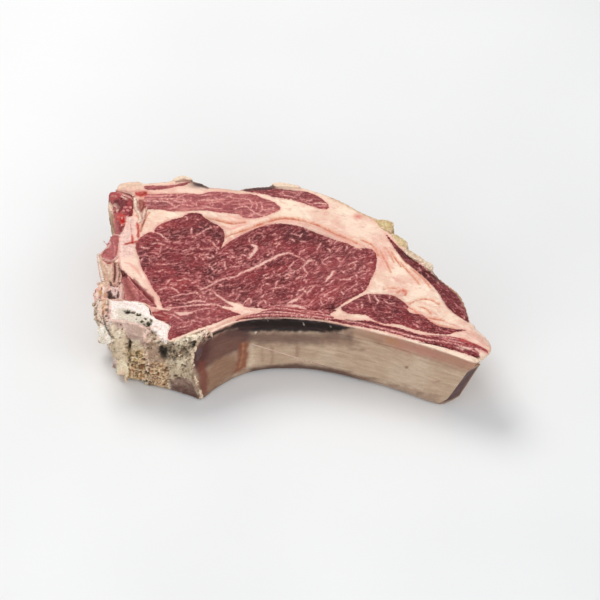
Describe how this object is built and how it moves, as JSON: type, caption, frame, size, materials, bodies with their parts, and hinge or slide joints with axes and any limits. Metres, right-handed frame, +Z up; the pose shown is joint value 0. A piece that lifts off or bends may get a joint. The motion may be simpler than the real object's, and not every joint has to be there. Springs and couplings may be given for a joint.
{
  "type": "dry-aged bone-in ribeye",
  "caption": "Thick dry-aged rib steak on the bone: round eye and cap of marbled red meat in pale fat, a curved rib along the front, rough sawn chine bone at one end.",
  "frame": {"origin": "middle of the bounding box's foot, on the board under the eye of the meat", "axes": "+X along the cut from the sawn chine to the thin tail, +Y from the rib to the back, +Z up out of the cut face"},
  "size_m": [0.2697, 0.1776, 0.0503],
  "materials": {
    "fat": "satin",
    "lean_meat": "satin",
    "dried_meat": "satin",
    "rib_bone": "satin",
    "chine_bone": "matte"
  },
  "bodies": {
    "root": {"fat_body": "fat", "eye_longissimus": "lean_meat", "complexus": "lean_meat", "multifidus": "lean_meat", "cap_trapezius": "lean_meat", "cap_latissimus": "lean_meat", "serratus": "lean_meat", "chine_side_meat": "lean_meat", "neck_end_meat": "lean_meat", "outer_flank": "dried_meat", "intercostal_meat": "dried_meat", "rib_bone": "rib_bone", "chine_bone": "chine_bone"}
  },
  "joints": []
}
